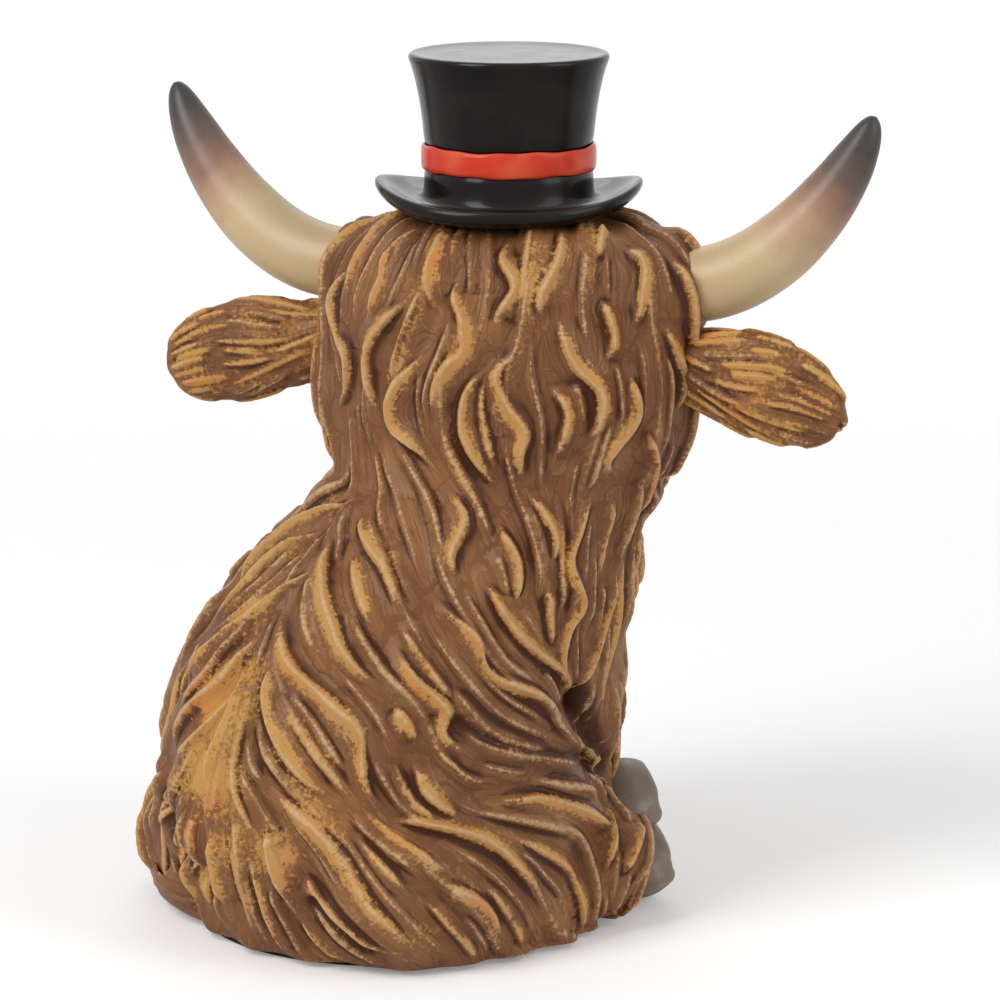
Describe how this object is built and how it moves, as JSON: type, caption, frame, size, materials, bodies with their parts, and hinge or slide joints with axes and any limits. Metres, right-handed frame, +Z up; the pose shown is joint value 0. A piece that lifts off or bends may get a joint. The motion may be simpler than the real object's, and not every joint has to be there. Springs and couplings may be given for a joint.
{
  "type": "animal figurine",
  "caption": "Seated long-haired highland cow ornament in painted cast resin, wearing a black top hat with a red band.",
  "frame": {"origin": "on the table under the middle of the base, at the centre of the felt's underside", "axes": "+Z up; the face looks along -Y; the cow's left is towards +X; the body is turned 23 degrees to the cow's right of the face"},
  "size_m": [0.1485, 0.1034, 0.17],
  "materials": {
    "painted_fur": "satin brown paint dry-brushed with gold on cast resin",
    "raw_resin": "unpainted cast resin",
    "felt": "dark felt",
    "painted_muzzle": "satin paint on cast resin",
    "glossy_eye": "gloss black",
    "painted_horn": "satin cream paint shading to a dark tip",
    "steel_pin": "plain steel wire",
    "glossy_black": "gloss black paint on cast resin",
    "glossy_red": "gloss red paint on cast resin",
    "painted_hoof": "satin grey paint on cast resin"
  },
  "bodies": {
    "root": {"body_shell": "painted_fur", "tail": "painted_fur", "head_shell": "painted_fur", "forelock": "painted_fur", "left_ear": "painted_fur", "right_ear": "painted_fur", "base_plug": "raw_resin", "hat_peg": "raw_resin", "felt_base": "felt", "muzzle": "painted_muzzle", "left_eye": "glossy_eye", "right_eye": "glossy_eye", "left_horn": "painted_horn", "right_horn": "painted_horn", "left_horn_pin": "steel_pin", "right_horn_pin": "steel_pin", "top_hat": "glossy_black", "hat_band": "glossy_red", "left_fore_hoof": "painted_hoof", "right_fore_hoof": "painted_hoof", "left_hind_hoof": "painted_hoof", "right_hind_hoof": "painted_hoof"}
  },
  "joints": []
}
